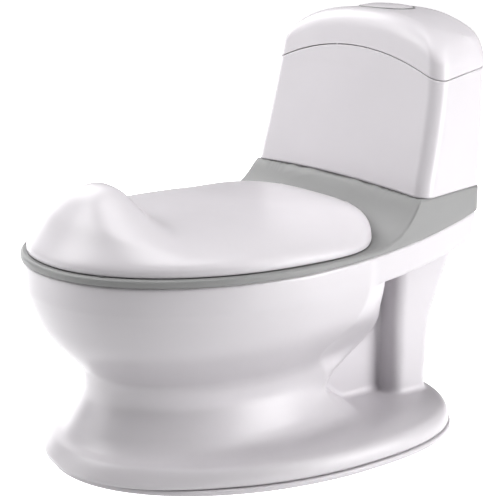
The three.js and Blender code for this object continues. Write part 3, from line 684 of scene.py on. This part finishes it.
# ---------- tank ----------
BUTTON_CY = (BUTTON_LO[1] + BUTTON_HI[1]) / 2
BUTTON_X, BUTTON_Y = BUTTON_HI[0], (BUTTON_HI[1] - BUTTON_LO[1]) / 2
BUTTON_N = 2.3                        # superellipse exponent of its oval
BUTTON_EDGE, BUTTON_DOME = 1.3, 1.5   # how far edge and middle stand above the crown
HOLE_GROW = BEZEL_HI[0] - BUTTON_X + 0.45


def oval_toward(points, grow):
    """The button's oval, grown, with one point in the direction of each given point."""
    x, y = points[:, 0], points[:, 1] - BUTTON_CY
    reach = np.hypot(x, y)
    a, b = BUTTON_X + grow, BUTTON_Y + grow
    r = (np.abs(x / reach / a) ** BUTTON_N + np.abs(y / reach / b) ** BUTTON_N) ** (-1 / BUTTON_N)
    return np.column_stack([x / reach * r, BUTTON_CY + y / reach * r])


def tank_outline(x0, y0, corner, corner_rear, d):
    """Rounded plan of the tank, from front centre to rear centre, with a slightly bowed back."""
    x0, y0 = x0 - d, y0 + d
    x1, y1 = CORNER_X + CORNER_R - d, CORNER_Y + CORNER_R - d
    half = [(x, y0) for x in np.linspace(0, x0 - corner, 26)[:-1]]
    tilt = math.atan2(x0 - x1, y1 - y0)
    for a in np.linspace(-math.pi / 2, tilt, 13):
        half.append((x0 - corner + corner * math.cos(a), y0 + corner + corner * math.sin(a)))
    xa, ya = half[-1]
    rear = []
    cx, cy = x1 - corner_rear, y1 - corner_rear
    for a in np.linspace(tilt, math.pi / 2, 13):
        rear.append((cx + corner_rear * math.cos(a), cy + corner_rear * math.sin(a)))
    for u in np.linspace(0, 1, 17)[1:-1]:
        half.append((xa + (rear[0][0] - xa) * u, ya + (rear[0][1] - ya) * u))
    half += rear
    bulge = REAR_Y - CORNER_Y - CORNER_R
    for u in np.linspace(0, 1, 22)[1:]:
        half.append((cx * (1 - u), y1 + bulge * math.sin(u * math.pi / 2)))
    return mirror(half)


def top_z(x):
    """Height of the tank's crown."""
    return TOP_Z - TOP_DROP * (np.abs(x) / 95) ** 2.6


def tank_rings(d):
    """Rings of the whole tank's outside, or of its inside for d > 0, from the deck to the crown."""
    heights = np.linspace(TANK[0, 0], TANK[-1, 0], 40)
    corner = TANK_R - d / 2
    rings = []
    for z, (x, y) in zip(heights, smooth_table(TANK, heights)):
        rings.append(lift(tank_outline(x, y + Y0, corner, corner, d), z))
    x_last, y_last = TANK[-1, 1], TANK[-1, 2] + Y0
    yc = Y0 + 150
    for a in np.linspace(0, math.pi / 2, 15):
        inset = (TOP_R - d) * (1 - math.cos(a))
        r = corner + inset * 0.35
        q = tank_outline(x_last - 1 - inset * 0.9, y_last + 1.4 + inset, r, r, d)
        squash = 1 - inset * 0.55 / 60
        y = np.where(q[:, 1] > yc, yc + (q[:, 1] - yc) * squash, q[:, 1])
        x = q[:, 0] * (1 - inset / 220)
        rings.append(np.column_stack([x, y, top_z(x) - TOP_R + (TOP_R - d) * math.sin(a)]))
    edge = rings[-1][:, :2]
    hole = oval_toward(edge, HOLE_GROW)
    for s in np.linspace(0, 1, 15)[1:]:
        q = edge + (hole - edge) * s
        rings.append(lift(q, lambda x, y: top_z(x) - d))
    return np.array(rings)


def seam_z(x, y):
    """Height of the arched seam between tank and tank top."""
    return SEAM_Z + SEAM_ARCH * (1 - (x / 105) ** 2) + SEAM_SLOPE * (y - Y0 - 124)


def cut_rings(rings, level, keep_low, count):
    """Each column of rings followed to where it meets `level`, on one side of it, as `count` even steps."""
    m, n = rings.shape[:2]
    columns = []
    for i in range(n):
        p = rings[:, i]
        gap = p[:, 2] - level(p[:, 0], p[:, 1])
        k = int(np.argmax(gap > 0))
        t = gap[k - 1] / (gap[k - 1] - gap[k])
        cut = p[k - 1] + (p[k] - p[k - 1]) * t
        path = np.vstack([p[:k], cut]) if keep_low else np.vstack([cut, p[k:]])
        run = np.concatenate([[0], np.cumsum(np.linalg.norm(np.diff(path, axis=0), axis=1))])
        at = np.linspace(0, run[-1], count)
        columns.append(np.column_stack([np.interp(at, run, path[:, c]) for c in range(3)]))
    return np.array(columns).transpose(1, 0, 2)


def edge_rounding(outer, inner, size=0.7):
    """Rings that carry an outer edge over to an inner one with softened corners."""
    a, b = outer, inner
    return [a + (b - a) * s for s in (size / 4 / WALL, size / WALL, 1 - size / WALL, 1 - size / 4 / WALL)]


def tank_shell(look):
    """Walls and floor of the tank, from just above the deck to just below the seam."""
    floor = lambda x, y: TANK_Z + 0.45 + TANK_ARCH * (1 - (x / ARCH_HALF) ** 2)
    rim_level = lambda x, y: seam_z(x, y) - SEAM_GAP - SEAM_LIP
    outer = cut_rings(tank_rings(0), floor, False, 220)
    inner = cut_rings(tank_rings(WALL), lambda x, y: floor(x, y) + 3.5, False, 220)
    outer = cut_rings(outer, rim_level, True, 60)
    inner = cut_rings(inner, rim_level, True, 40)
    lip_out, lip_in = outer[-1] + [0, 0, SEAM_LIP], inner[-1] + [0, 0, SEAM_LIP]
    rings = list(outer) + edge_rounding(lip_out, lip_in) + list(inner[::-1])
    verts, faces = skin(rings)
    return make("tank_shell_skin", verts, faces, look, "frame", ["tank_shell"], "white_plastic")


def tank_top(look):
    """The tank's hinged top, from just above the seam to the hole for the button."""
    rim_level = lambda x, y: seam_z(x, y) + SEAM_GAP + SEAM_LIP
    outer = cut_rings(tank_rings(0), rim_level, False, 70)
    inner = cut_rings(tank_rings(WALL), rim_level, False, 50)
    lip_out, lip_in = outer[0] - [0, 0, SEAM_LIP], inner[0] - [0, 0, SEAM_LIP]
    rings = list(inner[::-1]) + edge_rounding(lip_in, lip_out) + list(outer)
    verts, faces = skin(rings, closed=True)
    return make("tank_top_skin", verts, faces, look, "tank_lid", ["tank_lid"], "white_plastic")


# ---------- flush button ----------
def oval(grow, count=40):
    """The button's outline, grown all round."""
    half = []
    for a in np.linspace(0, math.pi, count + 1):
        s = abs(math.sin(a)) ** (2 / BUTTON_N)
        c = math.copysign(abs(math.cos(a)) ** (2 / BUTTON_N), math.cos(a))
        half.append(((BUTTON_X + grow) * s, BUTTON_CY - (BUTTON_Y + grow) * c))
    half[0], half[-1] = (0.0, half[0][1]), (0.0, half[-1][1])
    return mirror(half)


def on_crown(outline, rise):
    """An outline laid on the tank's crown, or so much above it."""
    return lift(outline, lambda x, y: top_z(x) + rise)


# Grey ring round the flush button. Its grey gives the dark line round the button: partly a real grey ring,
# partly painted shade standing in for the shadowed gap there.
def bezel(look):
    w = BEZEL_HI[0] - BUTTON_X
    outside = [(w - 0.1, -3), (w, 0.2), (w - 0.15, 0.65), (w - 0.5, 0.9)]
    inside = [(0.95, 0.9), (0.6, 0.7), (0.5, 0.2), (0.5, -3)]
    rings = [on_crown(oval(d), rise) for d, rise in outside + inside]
    return make("bezel_skin", *skin(rings, closed=True), look, "tank_lid", ["button_bezel"], "grey_plastic")


def button(look):
    """Domed oval with a rolled edge, sunk into the ring."""
    foot, roll_in, roll_down = -6.5, 0.8, 0.6
    rings = [on_crown(oval(-2), foot), on_crown(oval(0), foot), on_crown(oval(0), BUTTON_EDGE - roll_down)]
    for a in np.linspace(0, math.pi / 2, 7)[1:]:
        rise = BUTTON_EDGE - roll_down * (1 - math.sin(a))
        rings.append(on_crown(oval(-roll_in * (1 - math.cos(a))), rise))
    for s in np.linspace(0, 1, 12)[1:-1]:
        inset = roll_in + (BUTTON_Y - roll_in) * 0.97 * s
        rings.append(on_crown(oval(-inset), BUTTON_EDGE + BUTTON_DOME * (1 - (1 - s) ** 2.2)))
    return make("button_skin", *skin(rings), look, "flush_button", ["flush_button"], "white_plastic")


# ---------- hinge hardware ----------
PIN_LO, PIN_HI = node_box("lid_hinge_pin_1")
HINGE_Y, HINGE_Z = (PIN_LO[1] + PIN_HI[1]) / 2, (PIN_LO[2] + PIN_HI[2]) / 2
LUG_X = abs(PIN_LO[0] + PIN_HI[0]) / 2
REAR_PIN_LO, REAR_PIN_HI = node_box("tank_hinge_pin")
REAR_HY, REAR_HZ = (REAR_PIN_LO[1] + REAR_PIN_HI[1]) / 2, (REAR_PIN_LO[2] + REAR_PIN_HI[2]) / 2
LUG_R, KNUCKLE_R, REAR_R = 2.4, 2.4, 3.5
LUG_DROP = 11.6                       # from the pin down to the deck
LUG_HALF, SLOT_HALF, KNUCKLE_LONG = 4.5, 4.9, 6.0
REAR_LUG_X, REAR_LUG_HALF, REAR_KNUCKLE_HALF = 24.0, 6.0, 17.5
BOSS_R, BOSS_START = 3.6, 18.4        # posts for the sound module's screws


def arc(cy, cz, r, start, stop, count=24):
    """Points of an arc in the YZ plane, in degrees from +Y."""
    return [(cy + r * math.cos(a), cz + r * math.sin(a)) for a in np.radians(np.linspace(start, stop, count))]


def prism(x0, x1, outline):
    """Vertices and faces of a YZ outline carried from x0 to x1."""
    n = len(outline)
    verts = [(x, y, z) for x in (x0, x1) for y, z in outline]
    faces = [(i, (i + 1) % n, n + (i + 1) % n, n + i) for i in range(n)]
    faces += [tuple(range(n))[::-1], tuple(range(n, 2 * n))]
    return verts, faces


def rounded(piece, width, angle=30):
    """Rounds the edges of a piece that are sharper than the angle."""
    rounding = piece.modifiers.new("rounding", "BEVEL")
    rounding.width, rounding.segments, rounding.limit_method = width / 1000, 3, "ANGLE"
    rounding.angle_limit = math.radians(angle)
    return piece


def extruded(name, x0, x1, outline, look, body, slot):
    """A YZ outline carried from x0 to x1, with rounded ends."""
    return rounded(make(name, *prism(x0, x1, outline), look, body, (), slot), 0.5, 50)


def cut_away(piece, cutters):
    """Takes the cutters' space out of a piece and deletes them."""
    for tool in cutters:
        step = piece.modifiers.new("notch", "BOOLEAN")
        step.operation, step.object, step.solver = "DIFFERENCE", tool, "EXACT"
    shape = piece.evaluated_get(bpy.context.evaluated_depsgraph_get())
    mesh = bpy.data.meshes.new_from_object(shape)
    piece.modifiers.clear()
    piece.data = mesh
    for tool in cutters:
        bpy.data.objects.remove(tool)


def cutter(x0, x1, outline):
    """An extruded outline that isn't a piece."""
    verts, faces = prism(x0, x1, outline)
    mesh = bpy.data.meshes.new("cutter")
    mesh.from_pydata([(x / 1000, y / 1000, z / 1000) for x, y, z in verts], [], faces)
    outward(mesh)
    obj = bpy.data.objects.new("cutter", mesh)
    bpy.context.scene.collection.objects.link(obj)
    return obj


def lid_hinges(lid, white, grey):
    """Deck lugs between the lid's knuckles, and the notches in the lid that clear the lugs."""
    y, z, r = HINGE_Y, HINGE_Z, LUG_R
    lug = [(y - r, z - LUG_DROP), (y - r, z)] + arc(y, z, r, 180, -70)[1:] + [(y + 1, z - LUG_DROP)]
    gap = r + 0.6
    notch = [(y - gap, z - 12)] + arc(y, z, gap, 180, 60) + [(y + 10, z + 3.6), (y + 10, z - 12)]
    ring = arc(y, z, KNUCKLE_R, 0, 345)
    cutters = []
    for n, side in enumerate((1, -1), 1):
        x = side * LUG_X
        extruded(f"deck_lug_{n}", x - LUG_HALF, x + LUG_HALF, lug, grey, "frame", "grey_plastic")
        cutters.append(cutter(x - SLOT_HALF, x + SLOT_HALF, notch))
        for tag, x0 in (("a", x - SLOT_HALF - KNUCKLE_LONG), ("b", x + SLOT_HALF)):
            extruded(f"lid_knuckle_{n}{tag}", x0, x0 + KNUCKLE_LONG, ring, white, "lid", "white_plastic")
    cut_away(lid, cutters)


def tank_hinge(white):
    """Two lugs on the tank's back and the knuckle of its lid between them."""
    y, z, r = REAR_HY, REAR_HZ, REAR_R
    stem = [(y - 3.6, z + r), (y - 3.6, z - 8), (y - 6.5, z - 8), (y - 6.5, z - 19.5), (y - 2, z - 19.5)]
    lug = arc(y, z, r, -90, 90) + stem
    for n, x in enumerate((REAR_LUG_X, -REAR_LUG_X), 1):
        x0, x1 = x - REAR_LUG_HALF, x + REAR_LUG_HALF
        extruded(f"tank_lug_{n}", x0, x1, lug, white, "frame", "white_plastic")
    tongue = [(y - 6.4, z + r), (y - 6.4, z)]
    knuckle = arc(y, z, r, -90, 90) + tongue + arc(y, z, r, 180, 270)[:-1]
    half = REAR_KNUCKLE_HALF
    extruded("tank_lid_knuckle", -half, half, knuckle, white, "tank_lid", "white_plastic")


def module_bosses(white):
    """Posts under the tank lid that take the sound module's screws."""
    for n in (1, 2):
        lo, hi = node_box(f"module_screw_{n}")
        cx, cy = (lo[0] + hi[0]) / 2, (lo[1] + hi[1]) / 2
        low = node_box("module_case")[0][2] + BOSS_START
        a = np.linspace(0, 2 * math.pi, 33)[:-1]
        rings = []
        for r, z in ((3.2, low), (BOSS_R, low + 0.4), (BOSS_R, TOP_Z - 6), (3.4, TOP_Z - 4)):
            rings.append(np.column_stack([cx + r * np.cos(a), cy + r * np.sin(a), np.full(32, z)]))
        make(f"module_boss_{n}", *skin(rings), white, "tank_lid", (), "white_plastic")


# ---------- materials ----------
def new_material(name):
    mat = bpy.data.materials.new(name)
    mat.use_nodes = True
    tree = mat.node_tree
    shader = tree.nodes["Principled BSDF"]
    where = tree.nodes.new("ShaderNodeTexCoord")
    return mat, tree, shader, where.outputs["Object"]


def noise(tree, where, scale, detail=3.0, rough=0.5):
    n = tree.nodes.new("ShaderNodeTexNoise")
    n.inputs["Scale"].default_value = scale
    n.inputs["Detail"].default_value = detail
    n.inputs["Roughness"].default_value = rough
    tree.links.new(where, n.inputs["Vector"])
    return n.outputs["Fac"]


def ramp(tree, source, low, high, start=0.0, end=1.0):
    n = tree.nodes.new("ShaderNodeMapRange")
    n.inputs["From Min"].default_value, n.inputs["From Max"].default_value = start, end
    n.inputs["To Min"].default_value, n.inputs["To Max"].default_value = low, high
    tree.links.new(source, n.inputs["Value"])
    return n.outputs["Result"]


def mixed(tree, factor, a, b):
    n = tree.nodes.new("ShaderNodeMix")
    n.data_type = "RGBA"
    tree.links.new(factor, n.inputs["Factor"])
    for socket, value in ((n.inputs[6], a), (n.inputs[7], b)):
        if hasattr(value, "is_linked"):
            tree.links.new(value, socket)
        else:
            socket.default_value = (*value, 1)
    return n.outputs[2]


def plastic(name, color, worn, rough, grain, bump, coat=0.0):
    """Moulded plastic: faint flow variation, fine surface grain, polished spots and paler worn edges."""
    mat, tree, shader, where = new_material(name)
    flow = ramp(tree, noise(tree, where, 9.0, 4.0), 0, 1, 0.3, 0.7)
    shade = mixed(tree, flow, [c * 0.975 for c in color], [min(1, c * 1.012) for c in color])
    edge = tree.nodes.new("ShaderNodeNewGeometry").outputs["Pointiness"]
    wear = ramp(tree, edge, 0, 0.5, 0.53, 0.62)
    tree.links.new(mixed(tree, wear, shade, worn), shader.inputs["Base Color"])
    fine = noise(tree, where, grain, 3.0, 0.6)
    broad = noise(tree, where, 28.0, 3.0)
    tree.links.new(ramp(tree, broad, rough - 0.03, rough + 0.03, 0.3, 0.7), shader.inputs["Roughness"])
    relief = tree.nodes.new("ShaderNodeBump")
    relief.inputs["Strength"].default_value = bump
    relief.inputs["Distance"].default_value = 0.0003
    tree.links.new(fine, relief.inputs["Height"])
    tree.links.new(relief.outputs["Normal"], shader.inputs["Normal"])
    shader.inputs["Coat Weight"].default_value = coat
    shader.inputs["Coat Roughness"].default_value = 0.25
    shader.inputs["IOR"].default_value = 1.49
    return mat


def steel(name):
    """Plain steel with a faint cloudiness."""
    mat, tree, shader, where = new_material(name)
    tone = mixed(tree, noise(tree, where, 120), (0.50, 0.51, 0.53), (0.62, 0.63, 0.65))
    tree.links.new(tone, shader.inputs["Base Color"])
    tree.links.new(ramp(tree, noise(tree, where, 400), 0.25, 0.42), shader.inputs["Roughness"])
    shader.inputs["Metallic"].default_value = 1.0
    return mat


def board(name):
    """Solder mask with a pattern of paler tracks."""
    mat, tree, shader, where = new_material(name)
    tracks = tree.nodes.new("ShaderNodeTexWave")
    tracks.inputs["Scale"].default_value = 120
    tracks.inputs["Distortion"].default_value = 6
    tree.links.new(where, tracks.inputs["Vector"])
    line = ramp(tree, tracks.outputs["Fac"], 0, 1, 0.8, 0.9)
    tree.links.new(mixed(tree, line, (0.02, 0.13, 0.05), (0.08, 0.3, 0.12)), shader.inputs["Base Color"])
    tree.links.new(ramp(tree, noise(tree, where, 300), 0.3, 0.45), shader.inputs["Roughness"])
    return mat


# name, colour, worn colour, roughness, grain, relief, coat
WHITE = plastic("white_moulded", (0.60, 0.58, 0.602), (0.65, 0.635, 0.652), 0.36, 1400, 0.05, 0.08)
GREY = plastic("grey_moulded", (0.285, 0.285, 0.285), (0.34, 0.34, 0.34), 0.46, 1100, 0.15)
BLACK = plastic("dark_moulded", (0.035, 0.035, 0.038), (0.07, 0.07, 0.072), 0.5, 900, 0.2)
RUBBER = plastic("rubber_matt", (0.16, 0.16, 0.162), (0.22, 0.22, 0.22), 0.75, 700, 0.5)
STEEL = steel("plain_steel")
BOARD = board("circuit_board_green")

LOOKS = {
    "white_plastic": WHITE,
    "grey_plastic": GREY,
    "dark_plastic": BLACK,
    "rubber": RUBBER,
    "steel": STEEL,
    "board": BOARD,
}


def dress_frame():
    """Every CAD node that stays in view gets its slot's material and softened edges."""
    for part in frame["record"]["subparts"]:
        obj = frame["nodes"][part["node"]]
        obj.data.materials.clear()
        obj.data.materials.append(LOOKS[part["material_slot"]])
        if not obj.hide_render:
            soft = obj.modifiers.new("soft edges", "BEVEL")
            soft.width, soft.segments, soft.limit_method = 0.00025, 2, "ANGLE"
            soft.angle_limit = math.radians(40)
            soft.harden_normals = False
            flat = obj.modifiers.new("normals", "WEIGHTED_NORMAL")
            flat.keep_sharp = True


# ---------- pieces ----------
moulded_body(WHITE)
base_plate(WHITE)
seat_deck(GREY)
seat_ring(WHITE)
inner_pot(WHITE)
splash_guard(WHITE)
lid_hinges(lid_skin(WHITE), WHITE, GREY)
tank_shell(WHITE)
tank_top(WHITE)
tank_hinge(WHITE)
module_bosses(WHITE)
bezel(GREY)
button(WHITE)
dress_frame()


# ---------- studio ----------
FLOOR_GLOW = 1.0
BOUNCE, SKY = 1.0, 0.1                # light that a white studio sends up from below, and from around
CONTRAST = 0.8                        # display gamma: below 1 deepens the shades of the white plastic
BOX_SIZE, BOX_DISTANCE = 0.9, 1.6     # metres
BOX_TARGET = (0, 0, 0.18)
# name, azimuth, elevation, watts
BOXES = (
    ("right_low", 120, 5, 20),
    ("right_high", 120, 40, 10),
    ("front_low", -30, 5, 5),
    ("front_high", -30, 40, 14),
    ("left_low", -90, 5, 6),
    ("left_high", -90, 40, 9.5),
    ("top_box", 0, 85, 13),
)
CAMERA_AZIMUTH, CAMERA_ELEVATION, CAMERA_DISTANCE = 54.37, 14.63, 1.15578
CAMERA_TARGET = (0.0, 0.00797, 0.15957)
CAMERA_LENS, CAMERA_SENSOR = 97.12, 36.0


def plain_floor():
    """Pale floor that looks evenly lit. The light it would send up comes from the world instead."""
    bpy.ops.mesh.primitive_plane_add(size=60, location=(0, 0, 0))
    floor = bpy.context.object
    floor.name = "studio_floor"
    mat, tree, shader, where = new_material("pale_floor")
    tone = mixed(tree, noise(tree, where, 2.0), (0.90, 0.90, 0.905), (0.93, 0.93, 0.935))
    tree.links.new(tone, shader.inputs["Base Color"])
    shader.inputs["Roughness"].default_value = 0.9
    shader.inputs["Specular IOR Level"].default_value = 0.1
    shader.inputs["Emission Color"].default_value = (1, 1, 1, 1)
    shader.inputs["Emission Strength"].default_value = FLOOR_GLOW
    floor.visible_diffuse = False
    floor.data.materials.append(mat)


def place(obj, azimuth, elevation, distance, target):
    """Puts obj where that azimuth and elevation point, looking at target. Azimuth 0 is in front."""
    a, e = math.radians(azimuth), math.radians(elevation)
    back = Vector((math.sin(a) * math.cos(e), -math.cos(a) * math.cos(e), math.sin(e)))
    obj.location = Vector(target) + back * distance
    obj.rotation_mode = "QUATERNION"
    obj.rotation_quaternion = (-back).to_track_quat("-Z", "Y")


def softbox(name, azimuth, elevation, power):
    data = bpy.data.lights.new(name, "AREA")
    data.shape, data.size, data.size_y = "RECTANGLE", BOX_SIZE, BOX_SIZE
    data.energy = power
    light = bpy.data.objects.new(name, data)
    bpy.context.scene.collection.objects.link(light)
    place(light, azimuth, elevation, BOX_DISTANCE, BOX_TARGET)


def studio():
    """Soft boxes round the chair, and a world that is bright below the horizon only."""
    world = bpy.data.worlds.new("studio")
    bpy.context.scene.world = world
    world.use_nodes = True
    tree = world.node_tree
    sky = tree.nodes["Background"]
    where = tree.nodes.new("ShaderNodeTexCoord")
    parts = tree.nodes.new("ShaderNodeSeparateXYZ")
    tree.links.new(where.outputs["Generated"], parts.inputs[0])
    below = ramp(tree, parts.outputs["Z"], BOUNCE, SKY, -0.01, 0.01)
    tree.links.new(below, sky.inputs["Strength"])
    sky.inputs["Color"].default_value = (1, 1, 1, 1)
    for box in BOXES:
        softbox(*box)
    bpy.context.scene.view_settings.gamma = CONTRAST
    bpy.context.scene.view_settings.view_transform = "Standard"


def camera():
    data = bpy.data.cameras.new("camera")
    data.lens, data.sensor_width = CAMERA_LENS, CAMERA_SENSOR
    data.clip_start, data.clip_end = 0.05, 60
    cam = bpy.data.objects.new("camera", data)
    bpy.context.scene.collection.objects.link(cam)
    place(cam, CAMERA_AZIMUTH, CAMERA_ELEVATION, CAMERA_DISTANCE, CAMERA_TARGET)
    bpy.context.scene.camera = cam


plain_floor()
studio()
camera()
